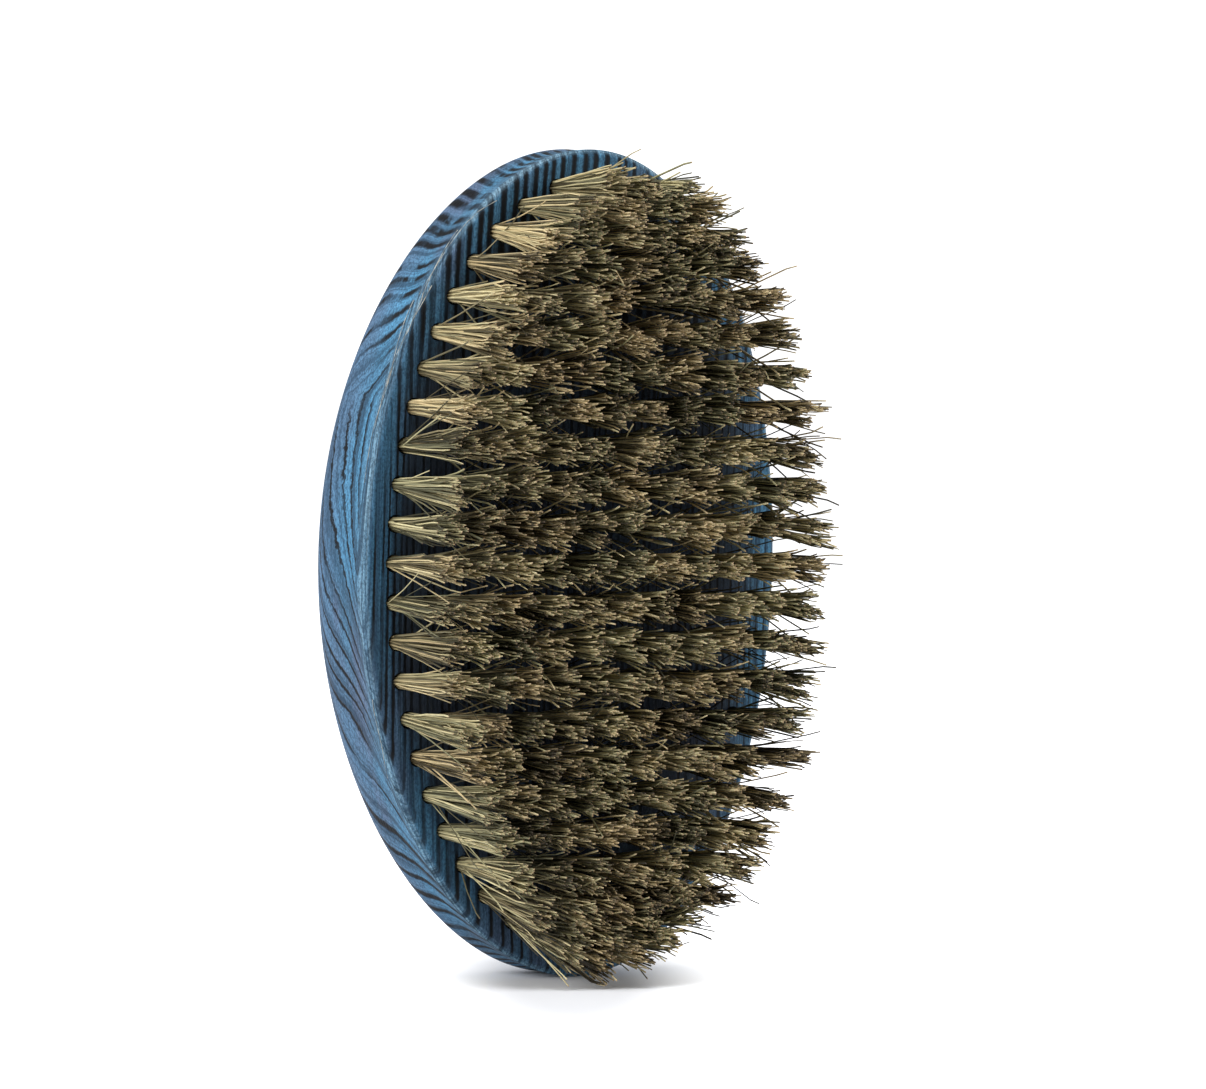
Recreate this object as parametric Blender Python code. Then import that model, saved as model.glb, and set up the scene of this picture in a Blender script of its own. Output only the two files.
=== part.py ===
"""Fade brush: an oval palm brush with rows of bristle tufts set in a bowed wood block.

The brush stands on one narrow end. +Z runs up its length, +X across its width, and the
bristles point to -Y. The origin is under the middle of the whole brush, so the box of the
brush starts at z = 0 and is centred on x = 0 and y = 0. All sizes are in metres.

Pieces: the wood block with one blind hole for each tuft, and one body for each row of tufts,
whose tufts meet at their tips as the bristles of a row do.
"""

import math

import bmesh
import bpy
import numpy as np
from mathutils import Matrix, Vector

# Wood block
LENGTH = 0.120
WIDTH = 0.0682
THICKNESS = 0.0226  # from the middle of the bristle face to the flat on the back
BOW = 0.0036  # how far the ends of the block stand forward of its middle
END_THINNING = 0.33  # how much of its depth the block has lost at its ends
RIDGE_INSET = 0.0011  # softened ridge round the bristle face
RIDGE_DEPTH = 0.0012
WAIST_DEPTH = 0.0060  # shallow waist that runs round the side wall
WAIST_INSET = 0.00035
WALL_DEPTH = 0.0128  # where the side wall ends and the shoulder starts
SHOULDER_RADIUS = 0.0085
SHOULDER_ANGLE = math.radians(80)
SHOULDER_STEPS = 4
CROWN_SCALE = 0.25  # size of the smallest ring of the crown, over that of the shoulder's end
CROWN_STEPS = 3
OUTLINE_SEGMENTS = 56  # its sides touch the true oval from outside, and one is flat at each end
BOW_SLICES = 12

# Tufts and their holes
EDGE_TO_TUFT = 0.00465  # from the edge of the block to the centres of the outer tufts
OUTER_TUFTS = 48  # equal steps round the outer oval; the two at its ends are left out
END_ROWS = (3, 4, 6)  # tufts in the rows nearest each end, set so that their holes stay apart
PITCH = 0.0057  # spacing of the tufts in the other rows, about
BRISTLE_LENGTH = 0.0196  # free length in front of the face
HOLE_DEPTH = 0.0090
HOLE_RADIUS = 0.00160
ROOT_RADIUS = 0.00125
ROOT_DEPTH = 0.0086  # how deep a tuft reaches into its hole
TIP_OVERLAP = 0.0003  # how far the tips of neighbours in a row run into each other
TIP_HALF_HEIGHT = 0.0026
ROW_GAP = 0.0004  # clear space between the tips of two rows
SIDES = 6
CUTTER_SPARE = 0.0010  # how far the hole cutters stand in front of the face
WELD = 1e-6

# Colours
STAINED_BLUE = (0.13, 0.32, 0.52, 1.0)
BRISTLE_STRAW = (0.30, 0.23, 0.12, 1.0)


def ring_stations():
    """(half width, height) of each row: equal steps along the oval of the outer tufts."""
    half_width = WIDTH / 2 - EDGE_TO_TUFT
    half_length = LENGTH / 2 - EDGE_TO_TUFT
    turn = np.linspace(-math.pi / 2, math.pi / 2, 4001)
    x = half_width * np.cos(turn)
    z = half_length * np.sin(turn)
    steps = np.hypot(np.diff(x), np.diff(z))
    run = np.concatenate([[0.0], np.cumsum(steps)])
    stops = np.linspace(0.0, run[-1], OUTER_TUFTS // 2 + 1)[1:-1]
    return [(float(np.interp(s, run, x)), float(np.interp(s, run, z))) for s in stops]


def tufts_in_row(index, rows, half_width):
    from_end = min(index, rows - 1 - index)
    if from_end < len(END_ROWS):
        return END_ROWS[from_end]
    return round(2 * half_width / PITCH) + 1


def tuft_rows():
    """One (list of x, height above the middle, tip half height) for each row, bottom to top."""
    stations = ring_stations()
    rows = []
    for index, (half_width, height) in enumerate(stations):
        count = tufts_in_row(index, len(stations), half_width)
        places = [half_width * (2 * i / (count - 1) - 1) for i in range(count)]
        near = [abs(height - stations[i][1]) for i in (index - 1, index + 1) if 0 <= i < len(stations)]
        tip = min(TIP_HALF_HEIGHT, (min(near) - ROW_GAP) / 2)
        rows.append((places, height, tip))
    return rows


def bow_at(height):
    """How far the block stands forward at this height above its middle."""
    return BOW * (height / (LENGTH / 2)) ** 2


def face_y():
    """Where the middle of the bristle face lies when the whole brush is centred on y = 0."""
    highest_row = ring_stations()[-1][1]
    front = bow_at(highest_row) + BRISTLE_LENGTH
    return (front - THICKNESS) / 2


def clear_scene():
    for obj in list(bpy.data.objects):
        bpy.data.objects.remove(obj, do_unlink=True)


def new_collection(name, helper=False):
    collection = bpy.data.collections.new(name)
    bpy.context.scene.collection.children.link(collection)
    collection.hide_render = helper
    return collection


def principled(name, colour, roughness, metallic=0.0):
    material = bpy.data.materials.new(name)
    material.use_nodes = True
    shader = material.node_tree.nodes["Principled BSDF"]
    shader.inputs["Base Color"].default_value = colour
    shader.inputs["Roughness"].default_value = roughness
    shader.inputs["Metallic"].default_value = metallic
    material.diffuse_color = colour
    return material


def object_from(bm, name, collection, parent=None, material=None):
    mesh = bpy.data.meshes.new(name)
    bm.to_mesh(mesh)
    bm.free()
    obj = bpy.data.objects.new(name, mesh)
    collection.objects.link(obj)
    obj.parent = parent
    if material:
        mesh.materials.append(material)
    return obj


def side_profile():
    """(depth behind the face, inset from the widest outline) from the face round to the crown."""
    points = [(0.0, RIDGE_INSET), (RIDGE_DEPTH * 0.3, RIDGE_INSET * 0.3), (RIDGE_DEPTH, 0.0)]
    points.append((WAIST_DEPTH, WAIST_INSET))
    for step in range(SHOULDER_STEPS + 1):
        angle = SHOULDER_ANGLE * step / SHOULDER_STEPS
        depth = WALL_DEPTH + SHOULDER_RADIUS * math.sin(angle)
        points.append((depth, SHOULDER_RADIUS * (1 - math.cos(angle))))
    return points


def crown_profile(start_depth, start_inset):
    """(depth, scale) of the back's shallow dome, which carries on the shoulder's slope."""
    half_width = WIDTH / 2 - start_inset
    rise = half_width / math.tan(SHOULDER_ANGLE) / 2
    points = []
    for step in range(1, CROWN_STEPS + 1):
        scale = 1 - (1 - CROWN_SCALE) * step / CROWN_STEPS
        points.append((start_depth + rise * (1 - scale**2), scale))
    return points


def set_ring(verts, depth, half_width, half_length):
    """Puts the ring's vertices on an oval, so that the middles of its sides touch this oval."""
    half_side = math.pi / OUTLINE_SEGMENTS
    outside = 1 / math.cos(half_side)
    for index, vert in enumerate(verts):
        turn = (2 * index + 1) * half_side
        x = half_width * outside * math.cos(turn)
        vert.co = Vector((x, depth, half_length * outside * math.sin(turn)))


def extruded_ring(bm, ring):
    """A new ring extruded from this one, with its vertices in the same order."""
    edges = [bm.edges.get((vert, ring[i - 1])) for i, vert in enumerate(ring)]
    made = bmesh.ops.extrude_edge_only(bm, edges=edges)["geom"]
    new = {vert for vert in made if isinstance(vert, bmesh.types.BMVert)}
    return [next(e.other_vert(v) for e in v.link_edges if e.other_vert(v) in new) for v in ring]


def block_shell():
    """The block before it is bowed: ovals lofted from the bristle face back to the crown."""
    bm = bmesh.new()
    ring = bmesh.ops.create_circle(bm, cap_ends=False, segments=OUTLINE_SEGMENTS, radius=1.0)["verts"]
    profile = side_profile()
    for index, (depth, inset) in enumerate(profile):
        if index:
            ring = extruded_ring(bm, ring)
        else:
            front = ring
        set_ring(ring, depth, WIDTH / 2 - inset, LENGTH / 2 - inset)
    last_depth, last_inset = profile[-1]
    for depth, scale in crown_profile(last_depth, last_inset):
        ring = extruded_ring(bm, ring)
        half_width = (WIDTH / 2 - last_inset) * scale
        set_ring(ring, depth, half_width, (LENGTH / 2 - last_inset) * scale)
    bm.faces.new(front)
    bm.faces.new(ring)
    bmesh.ops.recalc_face_normals(bm, faces=bm.faces)
    return bm


def cut(bm, place, normal, clear_outer=False):
    geometry = bm.verts[:] + bm.edges[:] + bm.faces[:]
    result = bmesh.ops.bisect_plane(
        bm, geom=geometry, plane_co=place, plane_no=normal, clear_outer=clear_outer, dist=WELD
    )
    return [edge for edge in result["geom_cut"] if isinstance(edge, bmesh.types.BMEdge)]


def bow_block(bm):
    """Slices the block across its length, then thins its ends and bends it along a parabola."""
    for index in range(1, BOW_SLICES):
        height = LENGTH * (index / BOW_SLICES - 0.5)
        cut(bm, (0, 0, height), (0, 0, 1))
    for vert in bm.verts:
        thinned = 1 - END_THINNING * (vert.co.z / (LENGTH / 2)) ** 2
        vert.co.y = vert.co.y * thinned - bow_at(vert.co.z)


def flatten_back(bm):
    """Cuts the top off the crown, which leaves a flat oval to rest on."""
    edges = cut(bm, (0, THICKNESS, 0), (0, 1, 0), clear_outer=True)
    bmesh.ops.edgeloop_fill(bm, edges=edges)


def add_prism(bm, x, z, near, far, radius):
    """A six-sided prism along Y, with two of its sides facing along the row."""
    middle = Matrix.Translation((x, (near + far) / 2, z))
    return bmesh.ops.create_cone(
        bm,
        cap_ends=True,
        segments=SIDES,
        radius1=radius,
        radius2=radius,
        depth=far - near,
        matrix=middle @ Matrix.Rotation(math.pi / 2, 4, "X"),
    )["verts"]


def hole_cutter(rows, collection, parent):
    bm = bmesh.new()
    for places, height, _ in rows:
        face = -bow_at(height)
        for x in places:
            add_prism(bm, x, height, face - CUTTER_SPARE, face + HOLE_DEPTH, HOLE_RADIUS)
    cutter = object_from(bm, "tuft_holes", collection, parent)
    cutter.hide_render = True
    cutter.display_type = "WIRE"
    return cutter


def wood_block(collection, parent, cutter):
    bm = block_shell()
    bow_block(bm)
    flatten_back(bm)
    bmesh.ops.triangulate(bm, faces=bm.faces)
    material = principled("blue_stained_wood", STAINED_BLUE, 0.45)
    block = object_from(bm, "wood_block", collection, parent, material)
    holes = block.modifiers.new("holes", "BOOLEAN")
    holes.operation = "DIFFERENCE"
    holes.solver = "EXACT"
    holes.object = cutter
    block.data.shade_smooth()
    block.data.set_sharp_from_angle(angle=math.radians(30))
    return block


def shape_tuft(bm, x, height, half_spacing, tip_half_height):
    """A tuft: straight in its hole, then widening from the face to its tip."""
    face = -bow_at(height)
    add_prism(bm, x, height, face - BRISTLE_LENGTH, face + ROOT_DEPTH, ROOT_RADIUS)
    cut(bm, (0, face, 0), (0, 1, 0))
    flat_to_corner = math.cos(math.pi / SIDES)
    wide = (half_spacing + TIP_OVERLAP) / (ROOT_RADIUS * flat_to_corner)
    high = tip_half_height / ROOT_RADIUS
    for vert in bm.verts:
        if vert.co.y < face - WELD:
            vert.co.x = x + (vert.co.x - x) * wide
            vert.co.z = height + (vert.co.z - height) * high


def add_tuft(bm, x, height, half_spacing, tip_half_height, first, last):
    """Adds a tuft, cut open half way to each neighbour, so that a row's tufts can be welded."""
    tuft = bmesh.new()
    shape_tuft(tuft, x, height, half_spacing, tip_half_height)
    if not first:
        cut(tuft, (x - half_spacing, 0, 0), (-1, 0, 0), clear_outer=True)
    if not last:
        cut(tuft, (x + half_spacing, 0, 0), (1, 0, 0), clear_outer=True)
    mesh = bpy.data.meshes.new("tuft")
    tuft.to_mesh(mesh)
    tuft.free()
    bm.from_mesh(mesh)
    bpy.data.meshes.remove(mesh)


def tuft_row(name, row, collection, parent, material):
    places, height, tip_half_height = row
    half_spacing = (places[1] - places[0]) / 2
    bm = bmesh.new()
    for index, x in enumerate(places):
        first = index == 0
        last = index == len(places) - 1
        add_tuft(bm, x, height, half_spacing, tip_half_height, first, last)
    bmesh.ops.remove_doubles(bm, verts=bm.verts, dist=WELD * 2)
    bmesh.ops.recalc_face_normals(bm, faces=bm.faces)
    return object_from(bm, name, collection, parent, material)


def build():
    clear_scene()
    parts = new_collection("fade_brush")
    cutters = new_collection("cutters", helper=True)
    middle = bpy.data.objects.new("face_middle", None)
    parts.objects.link(middle)
    middle.location = (0, face_y(), LENGTH / 2)
    rows = tuft_rows()
    cutter = hole_cutter(rows, cutters, middle)
    wood_block(parts, middle, cutter)
    bristle = principled("bristle", BRISTLE_STRAW, 0.6)
    for number, row in enumerate(rows, start=1):
        tuft_row(f"tuft_row_{number:02d}", row, parts, middle, bristle)


build()
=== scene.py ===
"""Looks of the fade brush: a blue-stained wood block, rows of bristles and their wire anchors.

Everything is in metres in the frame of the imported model: +Z runs up the length of the brush,
+X across its width, and the bristles point to -Y.
"""

import math

import bmesh
import bpy
import numpy as np
from mathutils import Matrix, Vector, geometry


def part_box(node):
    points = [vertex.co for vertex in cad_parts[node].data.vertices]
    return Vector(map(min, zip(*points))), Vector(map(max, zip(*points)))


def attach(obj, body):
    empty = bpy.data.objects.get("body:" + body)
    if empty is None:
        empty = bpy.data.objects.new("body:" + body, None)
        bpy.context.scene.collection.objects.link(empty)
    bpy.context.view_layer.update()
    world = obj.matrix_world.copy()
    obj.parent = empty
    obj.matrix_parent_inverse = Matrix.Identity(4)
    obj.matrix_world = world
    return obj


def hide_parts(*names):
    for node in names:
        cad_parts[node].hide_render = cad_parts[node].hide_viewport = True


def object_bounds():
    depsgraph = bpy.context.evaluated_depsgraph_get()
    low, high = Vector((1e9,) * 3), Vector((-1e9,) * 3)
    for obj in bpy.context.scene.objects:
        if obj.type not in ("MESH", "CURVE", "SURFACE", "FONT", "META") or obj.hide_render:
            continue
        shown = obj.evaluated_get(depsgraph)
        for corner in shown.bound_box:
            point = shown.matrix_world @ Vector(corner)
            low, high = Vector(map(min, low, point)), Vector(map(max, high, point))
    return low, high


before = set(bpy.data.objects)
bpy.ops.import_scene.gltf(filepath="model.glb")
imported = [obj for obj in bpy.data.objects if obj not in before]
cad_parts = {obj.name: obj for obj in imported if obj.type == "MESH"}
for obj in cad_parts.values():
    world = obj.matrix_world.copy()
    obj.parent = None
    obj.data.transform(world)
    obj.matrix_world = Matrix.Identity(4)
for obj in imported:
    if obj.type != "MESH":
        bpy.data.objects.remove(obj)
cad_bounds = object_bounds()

MM = 0.001
rng = np.random.default_rng(29)

# Wood block: its edge treatment, round the outline that the frame gives
RIDGE_INSET = 1.1 * MM
RIDGE_DEPTH = 1.2 * MM
WAIST_INSET = 0.35 * MM
WALL_DEPTH = 12.8 * MM
SHOULDER_RADIUS = 8.5 * MM
SHOULDER_ANGLE = math.radians(80)
END_THINNING = 0.33  # how much of its depth the block has lost at its ends
CROWN_SCALE = 0.04  # size of the smallest ring of the back's dome, over that of its largest
RIDGE_RINGS, WALL_RINGS, SHOULDER_RINGS, CROWN_RINGS = 7, 15, 17, 22
OUTLINE_STEPS = 384
HOLE_STEPS = 20
HOLE_RADIUS = 1.32 * MM
HOLE_DEPTH = 8.9 * MM
SMOOTH_ANGLE = math.radians(40)  # edges sharper than this stay sharp
SAME_LEVEL = 0.1 * MM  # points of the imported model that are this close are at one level

# Bristles
BRISTLES_PER_TUFT = 104
BRISTLE_SIDES = 4
BRISTLE_RADIUS = 0.135 * MM
TUFT_RADIUS = 1.04 * MM
TIP_SPREAD = 2.15  # radius of a tuft at its tips, over that at its foot
CLUMPS = 5  # little bundles that the bristles of a tuft stick together in
CLUMP_PULL = 0.5
STRAY_SHARE = 0.07
STRAY_SCATTER = 2.6 * MM
TUFT_SCATTER = 0.45 * MM  # how far the tips of a whole tuft are out of place
TIP_SCATTER = 0.38 * MM  # and those of a single bristle
BEND = 0.14 * MM
REACH = 0.97  # length of a bristle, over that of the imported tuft
LENGTH_SCATTER = 0.4 * MM
CLUMP_LENGTH_SCATTER = 0.5 * MM
SHORT_SHARE = 0.25
SHORT_BY = (0.4 * MM, 5.0 * MM)
SIDE_LEAN = 0.3 * MM
TOP_LEAN = 0.1 * MM  # how far the tips of the end tufts lean up at the top end
BOTTOM_LEAN = 3.4 * MM  # and down at the left of the bottom end
END_PULL = 3.2 * MM  # how far the tips of the end tufts on the right lean in to the middle
FREE_RINGS = (0.0, 0.45, 0.87, 1.0)  # where a bristle has a ring, along its free length
KINK = 0.2 * MM  # how far the very tip of a bristle is out of line
FLOOR_GAP = 0.2 * MM

# Anchors, and the loose hairs along the ridge
ANCHOR_DEPTH = 8.0 * MM
ANCHOR_DROP = 0.3 * MM  # from the feet of the bristles to the middle of the anchor
ANCHOR_HALF_THICKNESS = 0.16 * MM
ANCHOR_OUTLINE = (  # in millimetres: across the hole, and into it
    (-1.3, 0.35), (-1.15, -0.45), (1.15, -0.45), (1.3, 0.35), (0.9, 0.5), (-0.9, 0.5),
)
HAIR_RADIUS = 0.06 * MM
HAIR_LIFT = 0.12 * MM  # from the side wall to the middle of a hair
HAIR_RINGS = 26
LOOSE_HAIRS = (  # where each starts and ends round the outline in degrees, and its depths there
    (118, 140, -0.6, 1.5), (127, 150, 1.2, 0.1), (138, 161, -0.3, 1.6), (141, 157, 2.3, 0.9),
    (152, 169, 0.9, 2.0), (199, 211, 0.5, 1.6), (31, 47, 0.6, 1.2),
)

# Camera and light
CAMERA_AZIMUTH = math.radians(-29)
CAMERA_ELEVATION = math.radians(2.37)
CAMERA_ROLL = math.radians(1.11)
CAMERA_DISTANCE = 1.203
CAMERA_LENS = 247.2
CAMERA_SENSOR = 36.0
AIM_RIGHT = 4.26 * MM  # from the middle of the bristle face to the middle of the picture
AIM_UP = 2.64 * MM
WORLD_LIGHT = 0.38
SHEET_GAP = 0.05 * MM
SHEET_REACH = 12.0
DOME_RADIUS = 4.0
SHADOW_PLACE = (-0.0065, -0.014, 0.0)
SHADOW_SIZE = (0.0185, 0.090, 1.0)  # the floor glows white outside this oval
GLOW_RANGE = (0.36, 1.3)  # where the glow starts and is full, over the size of that oval
FLOOR_GLOW = ((0.0, (0.0, 0.0, 0.0)), (1.0, (0.9, 0.9, 0.9)))
LIGHTS = (  # name, azimuth, elevation, distance, size, power
    ("left", -98, 24, 1.2, 0.9, 11.0),
    ("top", -20, 74, 1.2, 0.8, 9.0),
    ("right", 120, 20, 1.4, 0.9, 6.0),
    ("front", 35, 12, 1.5, 0.9, 4.0),
)


# ---------------------------------------------------------------- the frame

def node_points(name):
    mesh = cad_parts[name].data
    points = np.empty(len(mesh.vertices) * 3, np.float32)
    mesh.vertices.foreach_get("co", points)
    return points.reshape(-1, 3).astype(float)


def read_row(name):
    """(x of each tuft, z, y of the face, y of the tips) of a row of tufts."""
    points = node_points(name)
    root = points[points[:, 1] > points[:, 1].max() - SAME_LEVEL]
    z = (root[:, 2].min() + root[:, 2].max()) / 2
    corners = root[root[:, 2] > root[:, 2].max() - SAME_LEVEL]
    places = np.unique(np.round(corners[:, 0], 5))
    levels = np.unique(np.round(points[:, 1], 4))
    return places, z, levels[-2], levels[0]


row_names = sorted(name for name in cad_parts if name.startswith("tuft_row"))
rows = [read_row(name) for name in row_names]
block_low, block_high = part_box("wood_block")
half_width = (block_high[0] - block_low[0]) / 2
half_length = (block_high[2] - block_low[2]) / 2
middle_z = (block_high[2] + block_low[2]) / 2
middle_row = min(rows, key=lambda row: abs(row[1] - middle_z))
face_y = middle_row[2]
back_y = block_high[1]
end_row = rows[-1]
BOW = (face_y - end_row[2]) / ((end_row[1] - middle_z) / half_length) ** 2


def bow_at(z):
    return BOW * ((z - middle_z) / half_length) ** 2


# ---------------------------------------------------------------- meshes

def new_object(name, points, faces, smooth=True):
    mesh = bpy.data.meshes.new(name)
    mesh.from_pydata(points, [], faces)
    mesh.polygons.foreach_set("use_smooth", [smooth] * len(mesh.polygons))
    mesh.update()
    obj = bpy.data.objects.new(name, mesh)
    bpy.context.scene.collection.objects.link(obj)
    return obj


def point_values(obj, name, values):
    attribute = obj.data.attributes.new(name, "FLOAT", "POINT")
    attribute.data.foreach_set("value", np.asarray(values, np.float32))


def edge_profile():
    """(depth, inset) of each ring from the bristle face to the end of the shoulder."""
    points = []
    for angle in np.linspace(0, math.pi / 2, RIDGE_RINGS):
        points.append((RIDGE_DEPTH * math.sin(angle) ** 1.5, RIDGE_INSET * (1 - math.sin(angle))))
    for share in np.linspace(0, 1, WALL_RINGS)[1:]:
        depth = RIDGE_DEPTH + (WALL_DEPTH - RIDGE_DEPTH) * share
        points.append((depth, WAIST_INSET * math.sin(math.pi * share) ** 2))
    for angle in np.linspace(0, SHOULDER_ANGLE, SHOULDER_RINGS)[1:]:
        depth = WALL_DEPTH + SHOULDER_RADIUS * math.sin(angle)
        points.append((depth, SHOULDER_RADIUS * (1 - math.cos(angle))))
    return points


def crown_profile(start):
    """(depth, size over that of the shoulder's end) of the rings of the dome of the back."""
    rise = (half_width - start[1]) / math.tan(SHOULDER_ANGLE) / 2
    scales = np.linspace(1, CROWN_SCALE, CROWN_RINGS)[1:]
    return [(start[0] + rise * (1 - scale**2), scale) for scale in scales]


def block_rings():
    """The rings of the block, each OUTLINE_STEPS points, from the face to the middle of the back."""
    turn = np.arange(OUTLINE_STEPS) * 2 * math.pi / OUTLINE_STEPS
    profile = edge_profile()
    rings = [(depth, half_width - inset, half_length - inset) for depth, inset in profile]
    last = profile[-1]
    for depth, scale in crown_profile(last):
        rings.append((depth, (half_width - last[1]) * scale, (half_length - last[1]) * scale))
    made = []
    for depth, wide, high in rings:
        x = wide * np.cos(turn)
        z = middle_z + high * np.sin(turn)
        thinned = 1 - END_THINNING * ((z - middle_z) / half_length) ** 2
        y = np.minimum(face_y + depth * thinned - bow_at(z), back_y)
        made.append(np.column_stack([x, y, z]))
    return made


def hole_circle(x, z):
    turn = np.arange(HOLE_STEPS) * 2 * math.pi / HOLE_STEPS
    return np.column_stack([x + HOLE_RADIUS * np.cos(turn), z + HOLE_RADIUS * np.sin(turn)])


def face_triangles(outline, circles):
    """Triangles of the flat pattern of the face, between its outline and the holes."""
    flat = np.concatenate([outline, *circles]) / MM
    edges = []
    start = 0
    for loop in [outline, *circles]:
        count = len(loop)
        edges += [(start + i, start + (i + 1) % count) for i in range(count)]
        start += count
    made = geometry.delaunay_2d_cdt([Vector(p) for p in flat], edges, [], 1, 1e-6)
    points = np.array([tuple(p) for p in made[0]])
    triangles = np.array(made[2])
    centres = points[triangles].mean(axis=1)
    middles = np.array([circle.mean(axis=0) for circle in circles]) / MM
    gap = np.hypot(*(centres[:, None, :] - middles[None, :, :]).transpose(2, 0, 1)).min(axis=1)
    return triangles[gap > HOLE_RADIUS / MM * 0.98]


def wood_block():
    """The block with a round blind hole for each tuft."""
    rings = block_rings()
    points = list(rings)
    faces = []
    for i in range(len(rings) - 1):
        for j in range(OUTLINE_STEPS):
            k = (j + 1) % OUTLINE_STEPS
            a, b = i * OUTLINE_STEPS, (i + 1) * OUTLINE_STEPS
            faces.append((a + j, a + k, b + k, b + j))
    last = (len(rings) - 1) * OUTLINE_STEPS
    faces.append(tuple(last + j for j in range(OUTLINE_STEPS)))
    start = len(rings) * OUTLINE_STEPS
    circles = []
    for places, z, _, _ in rows:
        circles += [hole_circle(x, z) for x in places]
    for circle in circles:
        mouth = face_y - bow_at(circle[:, 1])
        points.append(np.column_stack([circle[:, 0], mouth, circle[:, 1]]))
    for circle in circles:
        bottom = face_y - bow_at(circle[:, 1].mean()) + HOLE_DEPTH
        points.append(np.column_stack([circle[:, 0], np.full(HOLE_STEPS, bottom), circle[:, 1]]))
    bottoms = start + len(circles) * HOLE_STEPS
    for index in range(len(circles)):
        top, low = start + index * HOLE_STEPS, bottoms + index * HOLE_STEPS
        for j in range(HOLE_STEPS):
            k = (j + 1) % HOLE_STEPS
            faces.append((top + k, top + j, low + j, low + k))
        faces.append(tuple(low + j for j in range(HOLE_STEPS)))
    outline = rings[0][:, [0, 2]]
    order = np.concatenate([np.arange(OUTLINE_STEPS), np.arange(start, bottoms)])
    for a, b, c in face_triangles(outline, circles):
        faces.append((int(order[a]), int(order[b]), int(order[c])))
    return new_object("stained_wood_block", np.concatenate(points), faces)


def face_outwards(obj):
    bm = bmesh.new()
    bm.from_mesh(obj.data)
    bmesh.ops.recalc_face_normals(bm, faces=bm.faces)
    bm.to_mesh(obj.data)
    bm.free()
    obj.data.set_sharp_from_angle(angle=SMOOTH_ANGLE)


# ---------------------------------------------------------------- bristles

def disc(count, radius):
    turn = rng.uniform(0, 2 * math.pi, count)
    reach = radius * np.sqrt(rng.uniform(0, 1, count))
    return np.column_stack([reach * np.cos(turn), reach * np.sin(turn)])


def rise(value, start, span):
    """0 up to the start, 1 from a span past it, and even in between."""
    return min(max((value - start) / span, 0.0), 1.0)


def lean_at(x, z):
    """How far a tuft's tips lean sideways and up, from its place on the face."""
    across = x / half_width
    along = (z - middle_z) / half_length
    share = max(0.0, (abs(along) - 0.66) / 0.26) ** 1.5
    upward = TOP_LEAN if along > 0 else -BOTTOM_LEAN * min(max(0.35 - 5.0 * across, -1.3), 1.0)
    inward = END_PULL * max(across, 0.0) * rise(abs(along), 0.45, 0.45)
    return np.array([across * SIDE_LEAN - inward, share * upward])


def clumped_tips(foot):
    """Tips spread out from the feet, drawn together in clumps, and the clump of each bristle."""
    centres = disc(CLUMPS, TUFT_RADIUS)
    clump = np.hypot(*(foot[:, None, :] - centres[None, :, :]).transpose(2, 0, 1)).argmin(axis=1)
    spread = TIP_SPREAD * rng.uniform(0.75, 1.45, (len(foot), 1))
    gathered = centres[clump] * TIP_SPREAD * 1.3
    return foot * spread * (1 - CLUMP_PULL) + gathered * CLUMP_PULL, clump


def tuft_paths(x, z, mouth_y, tip_y):
    """Ring centres of each bristle of a tuft: (bristles, rings, 3)."""
    count = BRISTLES_PER_TUFT
    foot = disc(count, TUFT_RADIUS)
    tip, clump = clumped_tips(foot)
    lean = lean_at(x, z) + rng.normal(0, TUFT_SCATTER, 2)
    tip += rng.normal(0, TIP_SCATTER, (count, 2)) + lean * rng.gamma(4.0, 0.25, (count, 1))
    tip[:, 1] *= 1 - 0.22 * rise(x / half_width, 0.3, 0.4)
    stray = rng.uniform(0, 1, count) < STRAY_SHARE
    tip[stray] += rng.normal(0, STRAY_SCATTER, (stray.sum(), 2)) * np.array([0.7, 1.3])
    length = (mouth_y - tip_y) * REACH + rng.normal(0, LENGTH_SCATTER, count)
    length += rng.normal(0, CLUMP_LENGTH_SCATTER, CLUMPS)[clump]
    short = rng.uniform(0, 1, count) < SHORT_SHARE
    length[short] -= rng.uniform(*SHORT_BY, short.sum())
    bend = rng.normal(0, BEND, (count, 2))
    paths = np.empty((count, len(FREE_RINGS) + 1, 3))
    pinched = foot * np.array([0.85, 0.35])
    paths[:, 0] = np.column_stack([pinched[:, 0], np.full(count, ANCHOR_DEPTH), pinched[:, 1]])
    power = rng.uniform(0.97, 1.15, count)[:, None]
    for ring, share in enumerate(FREE_RINGS, start=1):
        side = foot + (tip - foot) * share**power + bend * math.sin(math.pi * share)
        paths[:, ring] = np.column_stack([side[:, 0], -length * share, side[:, 1]])
    paths[:, -1, [0, 2]] += rng.normal(0, KINK, (count, 2))
    paths += np.array([x, mouth_y, z])
    lowest = block_low[2] + BRISTLE_RADIUS * 1.3 + FLOOR_GAP + rng.uniform(0, 0.6 * MM, count)
    paths[:, :, 2] = np.maximum(paths[:, :, 2], lowest[:, None])
    return paths


def bristle_tints(count):
    """Numbers from 0 to 1 for each bristle of a tuft: how light it is, and how warm."""
    light = np.clip(rng.uniform(0, 1, count) + rng.normal(0, 0.12), 0, 1)
    warm = np.clip(rng.normal(0.42, 0.28, count) + rng.normal(0, 0.38), 0, 1)
    return light, warm


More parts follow.
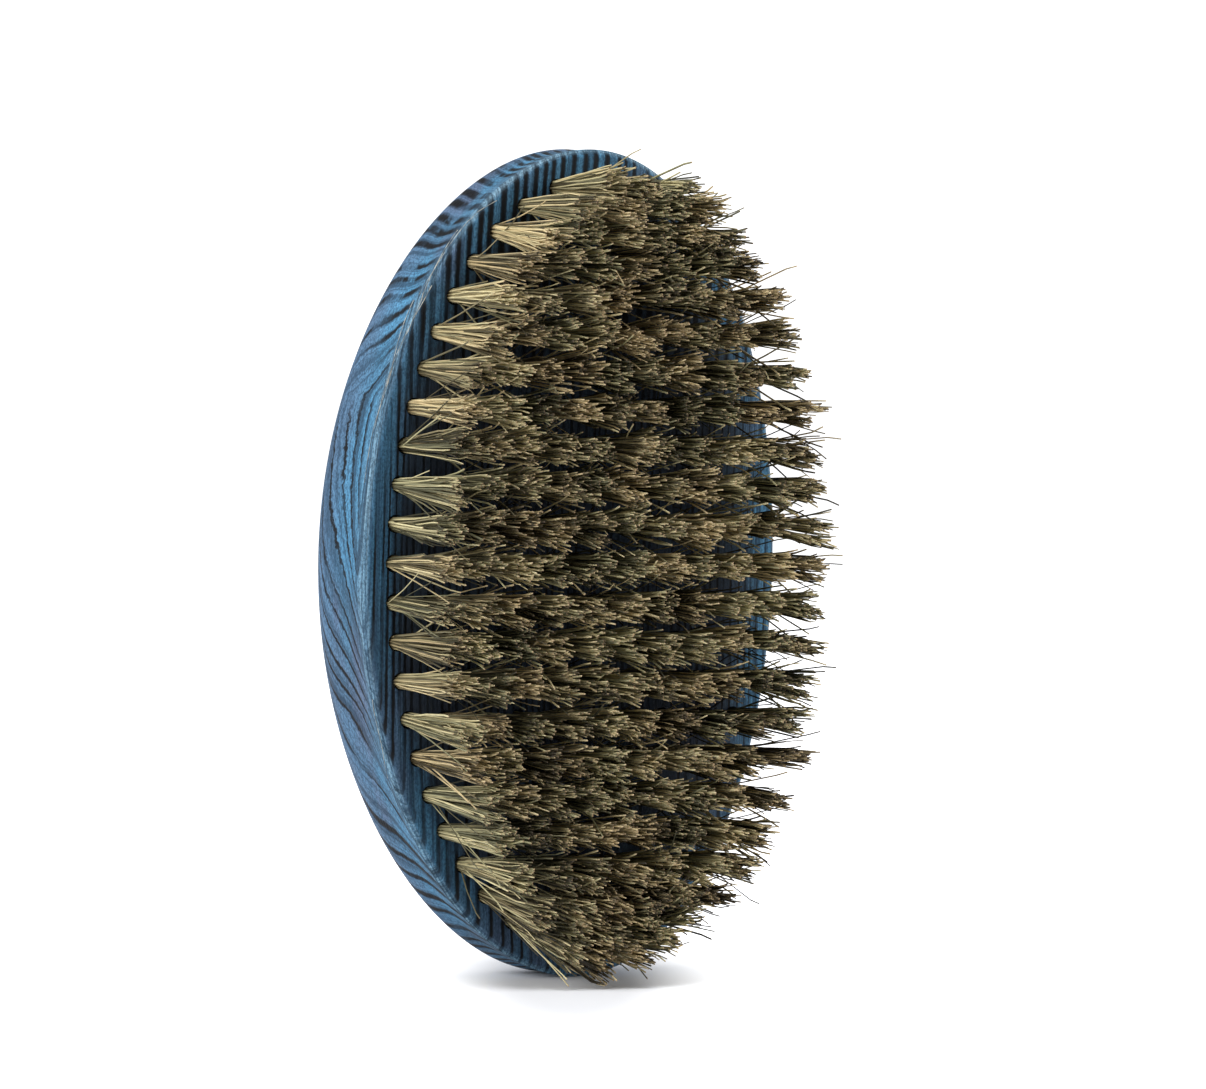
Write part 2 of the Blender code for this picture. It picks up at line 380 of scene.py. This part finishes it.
def bristle_row(name, row):
    """The bristles of a row as one object, and the material number of each of its faces."""
    places, z, mouth_y, tip_y = row
    paths = np.concatenate([tuft_paths(x, z, mouth_y, tip_y) for x in places])
    tints = np.concatenate([bristle_tints(BRISTLES_PER_TUFT) for _ in places], axis=1)
    count, rings = paths.shape[:2]
    thick = BRISTLE_RADIUS * rng.uniform(0.72, 1.3, count)
    twist = rng.uniform(0, 2 * math.pi, count)[:, None]
    turn = twist + np.arange(BRISTLE_SIDES)[None, :] * 2 * math.pi / BRISTLE_SIDES
    section = np.stack([np.cos(turn), np.zeros_like(turn), np.sin(turn)], axis=-1)
    taper = np.linspace(1.0, 0.8, rings)
    reach = thick[:, None, None, None] * taper[None, :, None, None]
    points = paths[:, :, None, :] + reach * section[:, None, :, :]
    sides = BRISTLE_SIDES
    first = (np.arange(count) * rings * sides)[:, None, None]
    ring = (np.arange(rings - 1) * sides)[None, :, None]
    side = np.arange(sides)[None, None, :]
    after = (np.arange(sides) + 1) % sides
    a = first + ring + side
    b = first + ring + after[None, None, :]
    walls = np.stack([a, b, b + sides, a + sides], axis=-1).reshape(-1, 4)
    start = np.arange(count)[:, None] * rings * sides
    foot_caps = start + np.arange(sides)[None, ::-1]
    tip_caps = start + (rings - 1) * sides + np.arange(sides)[None, :]
    faces = np.concatenate([walls, foot_caps, tip_caps])
    obj = new_object(name, points.reshape(-1, 3), faces.tolist())
    point_values(obj, "light", np.repeat(tints[0], rings * sides))
    point_values(obj, "warm", np.repeat(tints[1], rings * sides))
    along = np.array([-0.4, *FREE_RINGS])
    point_values(obj, "along", np.tile(np.repeat(along, sides), count))
    flags = np.zeros(len(faces), np.int32)
    flags[-count:] = 1
    return obj, flags


def tube(path, radius, sides=5):
    """Points and faces of a closed hair along a path, which thins to its end."""
    path = np.asarray(path)
    ahead = np.gradient(path, axis=0)
    ahead /= np.linalg.norm(ahead, axis=1)[:, None]
    first = np.cross(ahead, (0.31, 0.77, 0.55))
    first /= np.linalg.norm(first, axis=1)[:, None]
    second = np.cross(ahead, first)
    turn = np.arange(sides) * 2 * math.pi / sides
    thick = radius * np.linspace(1.0, 0.45, len(path))[:, None, None]
    cos, sin = np.cos(turn)[None, :, None], np.sin(turn)[None, :, None]
    around = cos * first[:, None, :] + sin * second[:, None, :]
    points = (path[:, None, :] + thick * around).reshape(-1, 3)
    faces = []
    for ring in range(len(path) - 1):
        for side in range(sides):
            a, b = ring * sides + side, ring * sides + (side + 1) % sides
            faces.append((a, b, b + sides, a + sides))
    faces.append(tuple(reversed(range(sides))))
    faces.append(tuple((len(path) - 1) * sides + side for side in range(sides)))
    return points, faces


def ridge_point(turn, depth, lift):
    """A point just off the block, near its ridge: depth behind the face, lift off the wall."""
    x = (half_width + lift) * math.cos(turn)
    z = middle_z + (half_length + lift) * math.sin(turn)
    return np.array([x, face_y - bow_at(z) + depth, z])


def loose_hairs():
    """A few long pale hairs that lie along the ridge, and cross from it to the bristles."""
    points, faces = [], []
    for start, end, depth_a, depth_b in LOOSE_HAIRS:
        wave = rng.uniform(0, 2 * math.pi)
        path = []
        for share in np.linspace(0, 1, HAIR_RINGS):
            turn = math.radians(start + (end - start) * share)
            depth = (depth_a + (depth_b - depth_a) * share + 0.25 * math.sin(wave + 7 * share)) * MM
            inset = max(0.0, -depth)
            front = min(depth, -0.1 * MM) if depth < 0.3 * MM else depth
            path.append(ridge_point(turn, front, HAIR_LIFT - inset))
        made, sides = tube(path, HAIR_RADIUS)
        faces += [tuple(corner + len(points) for corner in face) for face in sides]
        points += made.tolist()
    return new_object("loose_hairs", points, faces)


# ---------------------------------------------------------------- anchors

def anchor_row(name, row):
    """A flat wire anchor across the bottom of each hole, with its corners cut off."""
    places, z, mouth_y, _ = row
    points, faces = [], []
    for x in places:
        start = len(points)
        for side in (-ANCHOR_HALF_THICKNESS, ANCHOR_HALF_THICKNESS):
            for across, deep in ANCHOR_OUTLINE:
                y = mouth_y + ANCHOR_DEPTH + ANCHOR_DROP + deep * MM
                points.append((x + across * MM, y, z + side))
        n = len(ANCHOR_OUTLINE)
        faces.append(tuple(start + i for i in range(n)))
        faces.append(tuple(start + n + i for i in reversed(range(n))))
        for i in range(n):
            k = (i + 1) % n
            faces.append((start + k, start + i, start + n + i, start + n + k))
    return new_object(name, points, faces, smooth=False)


# ---------------------------------------------------------------- materials

class Nodes:
    """Short calls for making and linking a material's nodes."""

    def __init__(self, name):
        self.material = bpy.data.materials.new(name)
        self.material.use_nodes = True
        self.tree = self.material.node_tree
        self.shader = self.tree.nodes["Principled BSDF"]

    def add(self, kind, **settings):
        node = self.tree.nodes.new("ShaderNode" + kind)
        for key, value in settings.items():
            setattr(node, key, value)
        return node

    def put(self, value, socket):
        if isinstance(value, bpy.types.NodeSocket):
            self.tree.links.new(value, socket)
        else:
            socket.default_value = value

    def math(self, operation, a, b=0.0, c=0.0):
        node = self.add("Math", operation=operation)
        for index, value in enumerate((a, b, c)):
            self.put(value, node.inputs[index])
        return node.outputs[0]

    def noise(self, vector, detail=2.0, roughness=0.5):
        node = self.add("TexNoise")
        self.put(vector, node.inputs["Vector"])
        node.inputs["Scale"].default_value = 1.0
        node.inputs["Detail"].default_value = detail
        node.inputs["Roughness"].default_value = roughness
        return node.outputs["Fac"]

    def line_noise(self, place, scale, detail):
        """Noise along a single number."""
        node = self.add("TexNoise", noise_dimensions="1D")
        self.put(place, node.inputs["W"])
        node.inputs["Scale"].default_value = scale
        node.inputs["Detail"].default_value = detail
        return node.outputs["Fac"]

    def layer_edge(self, layer, scale):
        """How far into its growth layer a place is, from 0 at the layer's edge."""
        node = self.add("TexVoronoi", voronoi_dimensions="1D", feature="DISTANCE_TO_EDGE")
        self.put(layer, node.inputs["W"])
        node.inputs["Scale"].default_value = scale
        node.inputs["Randomness"].default_value = 0.8
        return node.outputs["Distance"]

    def joined(self, x, y, z):
        join = self.add("CombineXYZ")
        for value, socket in zip((x, y, z), join.inputs):
            self.put(value, socket)
        return join.outputs[0]

    def spread(self, vector, scale):
        node = self.add("Mapping")
        self.put(vector, node.inputs["Vector"])
        node.inputs["Scale"].default_value = scale
        return node.outputs["Vector"]

    def ramp(self, value, stops, smooth=False):
        node = self.add("ValToRGB")
        if smooth:
            node.color_ramp.interpolation = "EASE"
        elements = node.color_ramp.elements
        while len(elements) < len(stops):
            elements.new(0.5)
        for element, (place, colour) in zip(elements, stops):
            element.position = place
            element.color = opaque(colour)
        self.put(value, node.inputs["Fac"])
        return node.outputs["Color"]

    def mix(self, share, a, b):
        node = self.add("Mix", data_type="RGBA")
        self.put(share, node.inputs[0])
        self.put(opaque(a), node.inputs[6])  # the node's own colour sockets, after its others
        self.put(opaque(b), node.inputs[7])
        return node.outputs[2]

    def range(self, value, low, high, to_low=0.0, to_high=1.0):
        node = self.add("MapRange")
        self.put(value, node.inputs["Value"])
        limits = {"From Min": low, "From Max": high, "To Min": to_low, "To Max": to_high}
        for key, number in limits.items():
            node.inputs[key].default_value = number
        return node.outputs["Result"]

    def bump(self, height, distance, strength):
        node = self.add("Bump")
        node.inputs["Strength"].default_value = strength
        node.inputs["Distance"].default_value = distance
        self.put(height, node.inputs["Height"])
        self.put(node.outputs["Normal"], self.shader.inputs["Normal"])


def opaque(colour):
    """A colour of three numbers with its alpha, and anything else as it is."""
    return (*colour, 1.0) if isinstance(colour, tuple) and len(colour) == 3 else colour


def grey(value):
    return (value, value, value)


def linear(red, green, blue):
    """A display colour out of 255 as the linear colour that a shader takes."""
    return tuple(
        ((c / 255 + 0.055) / 1.055) ** 2.4 if c > 10 else c / 255 / 12.92 for c in (red, green, blue)
    )


WOOD_DARK = linear(8, 10, 14)
WOOD_DEEP = linear(30, 52, 72)
WOOD_MID = linear(90, 138, 172)
WOOD_LIGHT = linear(92, 157, 198)
WOOD_PALE = linear(136, 182, 210)
WOOD_LAVENDER = linear(104, 126, 158)
# Pale wear along the ridge, also its painted highlight
WOOD_RUBBED_HIGHLIGHT = linear(150, 188, 210)
# Painted shade on the face between the tufts
WOOD_SHADE_SLATE = linear(58, 64, 76)

# How the growth layers lean back into the block, from its bottom end to its top end
LAYER_LEAN = (
    (0.00, 0.08), (0.12, 0.17), (0.25, 0.28), (0.42, 0.36), (0.62, 0.36),
    (0.70, 0.32), (0.76, 0.24), (0.83, 0.12), (0.95, -0.05),
)
SIDE_TILT = 0.19  # how steeply the layers of the side wall also run across its length
FIELD_INSET = 3.4 * MM  # from the edge of the block to where the painted shade on the wood between the tufts starts
LEAN_SHIFT = 0.2  # keeps the numbers in the ramp above nothing
MIDDLE_LAYERS = 0.88  # growth layers in a millimetre, about, at the middle of the block
END_LAYERS = 0.6  # and at its ends
# Half width of the dark lines on the side wall, over their spacing, from bottom to top
SIDE_LINES = (
    (0.0, 0.22), (0.15, 0.17), (0.3, 0.12), (0.42, 0.12), (0.6, 0.14), (0.72, 0.16), (0.82, 0.27),
    (0.95, 0.34),
)


class WoodPlace:
    """Where a point of the block is, in millimetres, as sockets of its material."""

    def __init__(self, n):
        self.place = n.add("TexCoord").outputs["Object"]
        split = n.add("SeparateXYZ")
        n.put(self.place, split.inputs[0])
        self.x = n.math("MULTIPLY", split.outputs["X"], 1000.0)
        self.height = n.math("MULTIPLY_ADD", split.outputs["Z"], 1000.0, -middle_z * 1000)
        share = n.math("DIVIDE", self.height, half_length * 1000)
        squared = n.math("MULTIPLY", share, share)
        behind = n.math("MULTIPLY_ADD", split.outputs["Y"], 1000.0, -face_y * 1000)
        straight = n.math("MULTIPLY_ADD", squared, BOW * 1000, behind)
        thinned = n.math("MULTIPLY_ADD", squared, -END_THINNING, 1.0)
        self.depth = n.math("DIVIDE", straight, thinned)
        self.upward = n.math("MULTIPLY_ADD", share, 0.5, 0.5)
        # Shares from 0 to 1 of the regions that the looks differ in
        self.on_face = n.range(self.depth, 0.25, 0.8, 1.0, 0.0)
        self.off_face = n.math("SUBTRACT", 1.0, self.on_face)
        self.high = n.range(self.height, 18.0, 34.0)
        self.low_end = n.range(self.height, -24.0, -34.0)
        self.right = n.range(self.x, 24.0, 32.0)


def growth_layers(n, at):
    """A number in millimetres that is the same all over one growth layer of the wood."""
    lean = n.ramp(at.upward, [(p, grey(v + LEAN_SHIFT)) for p, v in LAYER_LEAN], smooth=True)
    lean = n.math("SUBTRACT", lean, LEAN_SHIFT)
    tilted = n.math("MULTIPLY_ADD", lean, at.depth, at.x)
    on_side = n.math("MULTIPLY", n.range(at.height, -58.0, -24.0), n.range(at.height, 50.0, 24.0))
    on_side = n.math("MULTIPLY", on_side, n.range(at.depth, 0.3, 2.5))
    run = n.range(at.height, -22.0, 24.0, 12.0 * SIDE_TILT, -34.0 * SIDE_TILT)
    run = n.math("MULTIPLY", run, on_side)
    tilted = n.math("ADD", tilted, run)
    wide = n.noise(n.spread(at.place, (70, 70, 22)), 2.0)
    wander = n.math("MULTIPLY_ADD", wide, 1.2, tilted)
    fine = n.noise(n.spread(at.place, (900, 900, 900)), 4.0, 0.65)
    jagged = n.math("MULTIPLY", on_side, n.range(at.height, -14.0, 4.0))
    rough = n.math("MULTIPLY_ADD", jagged, 0.45, 0.3)
    return n.math("MULTIPLY_ADD", fine, rough, wander)


def line_width(n, at):
    """Half width of the dark lines, over their spacing."""
    blotch = n.noise(n.spread(at.place, (120, 120, 60)), 3.0)
    face = n.range(blotch, 0.3, 0.7, 0.13, 0.34)
    face = n.math("MULTIPLY", face, n.range(at.height, 22.0, 44.0, 1.0, 1.6))
    face = n.math("MULTIPLY", face, n.math("MULTIPLY_ADD", at.right, -0.5, 1.0))
    side = n.ramp(at.upward, [(p, grey(v)) for p, v in SIDE_LINES])
    side = n.math("MULTIPLY", side, n.range(at.depth, 12.5, 16.5, 1.0, 0.4))
    side = n.math("MULTIPLY", side, n.range(blotch, 0.3, 0.7, 0.6, 1.4))
    return n.mix(at.on_face, side, face)


def dark_lines(n, at, layer):
    """How dark the lines between the growth layers are, from 0 to 1."""
    ends = n.math("MAXIMUM", at.high, at.low_end)
    edge = n.mix(ends, n.layer_edge(layer, MIDDLE_LAYERS), n.layer_edge(layer, END_LAYERS))
    line = n.math("DIVIDE", edge, line_width(n, at))
    sharp = n.ramp(line, [(0.0, grey(1.0)), (0.5, grey(0.95)), (1.0, grey(0.0))])
    # Smudged strokes at the upper end of the side wall
    fade = n.range(at.depth, 1.0, 4.5, 0.4, 1.0)
    smudge = n.noise(n.spread(at.place, (260, 260, 160)), 3.0)
    faded = n.math("MULTIPLY", n.range(smudge, 0.38, 0.48, 0.15, 1.0), fade)
    smudged = n.math("MULTIPLY", at.high, at.off_face)
    strength = n.math("MULTIPLY_ADD", n.math("SUBTRACT", faded, 1.0), smudged, 1.0)
    # Fainter and broken in places
    faint = n.range(n.noise(n.spread(at.place, (180, 180, 30)), 2.0), 0.32, 0.46, 0.7, 1.0)
    broken = n.range(n.noise(n.spread(at.place, (420, 420, 70)), 3.0), 0.36, 0.54, 0.25, 1.0)
    broken = n.mix(n.math("MAXIMUM", at.off_face, at.high), broken, grey(1.0))
    # Fading out towards the ridge
    near_ridge = n.range(at.depth, 1.2, 4.0, 0.1, 1.0)
    near_ridge = n.mix(n.math("MAXIMUM", at.on_face, at.high), near_ridge, grey(1.0))
    low_ridge = n.range(at.depth, 0.5, 3.0, 0.45, 1.0)
    near_ridge = n.mix(n.math("MULTIPLY", at.low_end, at.off_face), near_ridge, low_ridge)
    shade = n.math("MULTIPLY", n.math("MULTIPLY", sharp, strength), faint)
    return n.math("MULTIPLY", shade, n.math("MULTIPLY", broken, near_ridge))


def stained_base(n, at):
    """The stain in its patches, paler lavender towards the back as painted lighter shading, and pale
    along the ridge, partly worn and partly a painted highlight.
    """
    patch = n.noise(n.spread(at.place, (110, 110, 40)), 3.0)
    base = n.ramp(patch, [(0.36, WOOD_LAVENDER), (0.47, WOOD_MID), (0.62, WOOD_LIGHT)])
    # Painted light: paler lavender towards the back, for the lighter shading of the side wall
    # towards its outline
    back = n.math("MULTIPLY", n.range(at.depth, 7.0, 14.0), 0.7)
    base = n.mix(back, base, WOOD_LAVENDER)
    across_ridge = n.math("MULTIPLY", at.depth, 3.4)
    along_ridge = n.math("MULTIPLY", at.height, 0.05)
    brushed = n.noise(n.joined(across_ridge, 0.0, along_ridge), 3.0, 0.6)
    strokes = n.ramp(brushed, [(0.40, WOOD_DEEP), (0.49, WOOD_MID), (0.59, WOOD_PALE)])
    worn = n.math("MULTIPLY", n.range(at.depth, 4.2, 1.5, 0.0, 0.75), at.off_face)
    base = n.mix(worn, base, strokes)
    # Pale along the ridge: partly wear, partly a painted highlight on the rounded edge
    worn_and_highlit = n.math("MULTIPLY", n.range(at.depth, 0.15, 0.5), n.range(at.depth, 2.6, 0.9, 0.0, 1.0))
    scuffed_and_highlit = n.math("MULTIPLY", worn_and_highlit, n.range(brushed, 0.42, 0.58, 0.1, 0.7))
    return n.mix(scuffed_and_highlit, base, WOOD_RUBBED_HIGHLIGHT)


def fine_grain(n, at, layer, fibre, base):
    """Bands and hairlines of the layers, fibres and pores, over the stain."""
    speck = n.noise(n.spread(at.place, (3600, 3600, 2200)), 2.0, 0.6)
    bands = n.line_noise(layer, 1.1, 2.0)
    hairs = n.line_noise(layer, 5.5, 3.0)
    banded = n.mix(n.range(bands, 0.46, 0.7, 0.0, 0.7), base, WOOD_DEEP)
    haired = n.mix(n.range(hairs, 0.50, 0.68, 0.0, 0.6), banded, WOOD_DEEP)
    streaked = n.mix(n.range(fibre, 0.42, 0.72, 0.0, 0.4), haired, WOOD_DEEP)
    return n.mix(n.range(speck, 0.42, 0.62, 0.0, 0.6), streaked, WOOD_DEEP)


def painted_face_shade(n, at, base):
    """Painted shade: darkens the wood between the tufts, and round them on the face, only a little
    at the upper end; less on the right side, which is open to the light.
    """
    across = n.math("MULTIPLY", at.x, 0.001 / (half_width - FIELD_INSET))
    along = n.math("MULTIPLY", at.height, 0.001 / (half_length - FIELD_INSET))
    reach = n.math("ADD", n.math("MULTIPLY", across, across), n.math("MULTIPLY", along, along))
    # Painted shade is lighter on the right side, which is open to the light
    open_to_light = n.math("MULTIPLY_ADD", at.right, -0.8, 1.0)
    # Painted shade on the wood between the tufts
    field_shade = n.math("MULTIPLY", n.range(reach, 1.0, 0.84, 0.0, 0.75), at.on_face)
    field_shade = n.math("MULTIPLY", field_shade, open_to_light)
    # Painted shade round the tufts on the face, strong low down and slight at the upper end
    margin_shade = n.math("MULTIPLY", n.range(at.height, 24.0, 42.0, 0.45, 0.1), at.on_face)
    margin_shade = n.math("MULTIPLY", margin_shade, open_to_light)
    return n.mix(field_shade, n.mix(margin_shade, base, WOOD_DEEP), WOOD_SHADE_SLATE)


def wood_material():
    n = Nodes("blue_stained_wood")
    at = WoodPlace(n)
    layer = growth_layers(n, at)
    shade = dark_lines(n, at, layer)
    fibre = n.noise(n.spread(at.place, (2600, 2600, 60)), 3.0, 0.6)
    grained = fine_grain(n, at, layer, fibre, stained_base(n, at))
    n.put(n.mix(shade, painted_face_shade(n, at, grained), WOOD_DARK), n.shader.inputs["Base Color"])
    n.put(n.range(fibre, 0.3, 0.7, 0.42, 0.6), n.shader.inputs["Roughness"])
    n.shader.inputs["Specular IOR Level"].default_value = 0.2
    n.bump(n.math("MULTIPLY_ADD", shade, -0.7, fibre), 0.12 * MM, 0.8)
    return n.material


def bristle_material():
    n = Nodes("bristle_fibre")
    light = n.add("Attribute", attribute_name="light").outputs["Fac"]
    warm = n.add("Attribute", attribute_name="warm").outputs["Fac"]
    along = n.add("Attribute", attribute_name="along").outputs["Fac"]
    place = n.add("TexCoord").outputs["Object"]
    straw = n.ramp(light, [
        (0.00, linear(48, 47, 29)),
        (0.26, linear(88, 86, 63)),
        (0.44, linear(136, 134, 104)),
        (0.64, linear(186, 180, 137)),
        (0.86, linear(222, 211, 163)),
        (1.00, linear(230, 219, 171)),
    ])
    tan = n.ramp(light, [
        (0.00, linear(50, 42, 26)),
        (0.26, linear(92, 82, 60)),
        (0.44, linear(143, 128, 96)),
        (0.64, linear(194, 173, 130)),
        (0.86, linear(229, 206, 157)),
        (1.00, linear(235, 213, 165)),
    ])
    palette = n.mix(warm, straw, tan)
    streak = n.noise(n.spread(place, (2500, 220, 2500)), 2.0)
    toned = n.mix(n.range(streak, 0.35, 0.75, 0.0, 0.36), palette, linear(62, 56, 32))
    # Painted shade: each bristle darkens towards its root, down among the tufts where little light
    # reaches
    root = n.range(along, -0.1, 0.3, 0.3, 0.0)
    shaded = n.mix(root, toned, linear(70, 54, 26))
    n.put(shaded, n.shader.inputs["Base Color"])
    n.put(n.range(streak, 0.3, 0.7, 0.4, 0.6), n.shader.inputs["Roughness"])
    n.shader.inputs["Specular IOR Level"].default_value = 0.3
    n.bump(streak, 0.02 * MM, 0.5)
    return n.material


def hair_material():
    n = Nodes("loose_hair")
    place = n.add("TexCoord").outputs["Object"]
    streak = n.noise(n.spread(place, (900, 900, 900)), 2.0)
    colour = n.ramp(streak, [(0.4, linear(110, 118, 122)), (0.62, linear(200, 198, 186))])
    n.put(colour, n.shader.inputs["Base Color"])
    n.put(n.range(streak, 0.3, 0.7, 0.4, 0.6), n.shader.inputs["Roughness"])
    n.bump(streak, 0.01 * MM, 0.4)
    return n.material


def cut_end_material():
    n = Nodes("bristle_cut_end")
    light = n.add("Attribute", attribute_name="light").outputs["Fac"]
    place = n.add("TexCoord").outputs["Object"]
    palette = n.ramp(light, [
        (0.0, linear(60, 50, 40)),
        (0.3, linear(120, 100, 76)),
        (0.6, linear(196, 164, 124)),
        (1.0, linear(228, 200, 160)),
    ])
    speck = n.noise(n.spread(place, (9000, 9000, 9000)), 1.0)
    colour = n.mix(n.range(speck, 0.4, 0.7, 0.0, 0.5), palette, linear(110, 88, 62))
    n.put(colour, n.shader.inputs["Base Color"])
    n.shader.inputs["Roughness"].default_value = 0.7
    n.bump(speck, 0.02 * MM, 0.6)
    return n.material


def anchor_material():
    n = Nodes("anchor_steel")
    place = n.add("TexCoord").outputs["Object"]
    drawn = n.noise(n.spread(place, (300, 6000, 6000)), 2.0)
    colour = n.ramp(drawn, [(0.3, linear(150, 152, 156)), (0.7, linear(205, 207, 210))])
    n.put(colour, n.shader.inputs["Base Color"])
    n.shader.inputs["Metallic"].default_value = 1.0
    n.put(n.range(drawn, 0.3, 0.7, 0.28, 0.45), n.shader.inputs["Roughness"])
    n.bump(drawn, 0.01 * MM, 0.5)
    return n.material


def floor_material():
    n = Nodes("pale_floor")
    place = n.add("TexCoord").outputs["Object"]
    cloud = n.noise(n.spread(place, (3, 3, 3)), 2.0)
    colour = n.ramp(cloud, [(0.3, (0.74, 0.75, 0.78)), (0.7, (0.77, 0.78, 0.81))])
    n.put(colour, n.shader.inputs["Base Color"])
    n.shader.inputs["Roughness"].default_value = 0.9
    n.shader.inputs["Specular IOR Level"].default_value = 0.0
    return n.material


def glow_material():
    """Lets the floor show through, and whitens it for the camera outside the shadow."""
    n = Nodes("white_glow")
    place = n.add("TexCoord").outputs["Object"]
    turned = n.add("Mapping", vector_type="TEXTURE")
    n.put(place, turned.inputs["Vector"])
    turned.inputs["Location"].default_value = SHADOW_PLACE
    turned.inputs["Rotation"].default_value = (0.0, 0.0, CAMERA_AZIMUTH)
    turned.inputs["Scale"].default_value = SHADOW_SIZE
    far = n.add("VectorMath", operation="LENGTH")
    n.put(turned.outputs["Vector"], far.inputs[0])
    glow = n.ramp(n.range(far.outputs["Value"], *GLOW_RANGE), FLOOR_GLOW, smooth=True)
    shine = n.add("Emission")
    n.put(glow, shine.inputs["Strength"])
    clear = n.add("BsdfTransparent")
    both = n.add("AddShader")
    n.put(shine.outputs[0], both.inputs[0])
    n.put(clear.outputs[0], both.inputs[1])
    out = n.tree.nodes["Material Output"]
    n.put(both.outputs[0], out.inputs["Surface"])
    n.tree.nodes.remove(n.shader)
    return n.material


def backdrop_material():
    n = Nodes("white_backdrop")
    place = n.add("TexCoord").outputs["Object"]
    cloud = n.noise(n.spread(place, (0.2, 0.2, 0.2)), 1.0)
    n.put(n.ramp(cloud, [(0.3, grey(0.90)), (0.7, grey(0.92))]), n.shader.inputs["Base Color"])
    n.shader.inputs["Roughness"].default_value = 1.0
    n.shader.inputs["Emission Color"].default_value = (1.0, 1.0, 1.0, 1.0)
    n.shader.inputs["Emission Strength"].default_value = 1.0
    return n.material


# ---------------------------------------------------------------- camera and light

def make_camera():
    """A long lens at the height of the brush, from its front left."""
    a, e = CAMERA_AZIMUTH, CAMERA_ELEVATION
    back = Vector((math.sin(a) * math.cos(e), -math.cos(a) * math.cos(e), math.sin(e)))
    level = Vector((math.cos(a), math.sin(a), 0.0))
    upright = back.cross(level)
    right = level * math.cos(CAMERA_ROLL) + upright * math.sin(CAMERA_ROLL)
    up = upright * math.cos(CAMERA_ROLL) - level * math.sin(CAMERA_ROLL)
    target = Vector((0.0, face_y, middle_z)) + right * AIM_RIGHT + up * AIM_UP
    data = bpy.data.cameras.new("camera")
    data.lens = CAMERA_LENS
    data.sensor_width = CAMERA_SENSOR
    data.clip_start = 0.05
    data.clip_end = 50.0
    camera = bpy.data.objects.new("camera", data)
    bpy.context.scene.collection.objects.link(camera)
    turned = Matrix((right, up, back)).transposed().to_4x4()
    camera.matrix_world = Matrix.Translation(target + back * CAMERA_DISTANCE) @ turned
    bpy.context.scene.camera = camera


def area_light(name, azimuth, elevation, distance, size, power):
    a, e = math.radians(azimuth), math.radians(elevation)
    away = Vector((math.sin(a) * math.cos(e), -math.cos(a) * math.cos(e), math.sin(e)))
    data = bpy.data.lights.new(name, "AREA")
    data.shape = "DISK"
    data.size = size
    data.energy = power
    light = bpy.data.objects.new(name, data)
    bpy.context.scene.collection.objects.link(light)
    light.location = Vector((0, 0, middle_z)) + away * distance
    light.rotation_euler = away.to_track_quat("Z", "Y").to_euler()
    light.visible_camera = False


def make_light():
    world = bpy.data.worlds.new("studio")
    bpy.context.scene.world = world
    world.use_nodes = True
    background = world.node_tree.nodes["Background"]
    background.inputs["Color"].default_value = (1, 1, 1, 1)
    background.inputs["Strength"].default_value = WORLD_LIGHT
    for settings in LIGHTS:
        area_light(*settings)


def unlit(obj):
    """Keeps the object from lighting or shading anything: only the camera sees it."""
    obj.visible_diffuse = False
    obj.visible_glossy = False
    obj.visible_transmission = False
    obj.visible_shadow = False


def flat_sheet(name, height, material):
    reach = SHEET_REACH
    corners = [(-reach, -reach), (reach, -reach), (reach, reach), (-reach, reach)]
    sheet = new_object(name, [(x, y, height) for x, y in corners], [(0, 1, 2, 3)], smooth=False)
    sheet.data.materials.append(material)
    return sheet


def make_stage():
    """A white floor, a sheet that whitens it, and a white dome far round it."""
    low = cad_bounds[0][2]
    flat_sheet("floor", low - SHEET_GAP, floor_material())
    unlit(flat_sheet("glow", low, glow_material()))
    bpy.ops.mesh.primitive_uv_sphere_add(segments=48, ring_count=24, radius=DOME_RADIUS)
    dome = bpy.context.object
    dome.name = "backdrop"
    dome.data.materials.append(backdrop_material())
    unlit(dome)


# ---------------------------------------------------------------- the scene

def main():
    bpy.context.scene.view_settings.view_transform = "Standard"
    make_camera()
    make_light()
    make_stage()
    block = wood_block()
    face_outwards(block)
    block.data.materials.append(wood_material())
    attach(block, "root")
    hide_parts("wood_block")
    fibre, cut_end, steel = bristle_material(), cut_end_material(), anchor_material()
    for name, row in zip(row_names, rows):
        number = name.rsplit("_", 1)[1]
        bristles, flags = bristle_row(f"bristle_row_{number}", row)
        bristles.data.materials.append(fibre)
        bristles.data.materials.append(cut_end)
        bristles.data.polygons.foreach_set("material_index", flags)
        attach(bristles, "root")
        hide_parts(name)
        anchors = anchor_row(f"anchor_row_{number}", row)
        anchors.data.materials.append(steel)
        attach(anchors, "root")
    hairs = loose_hairs()
    hairs.data.materials.append(hair_material())
    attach(hairs, "root")


main()
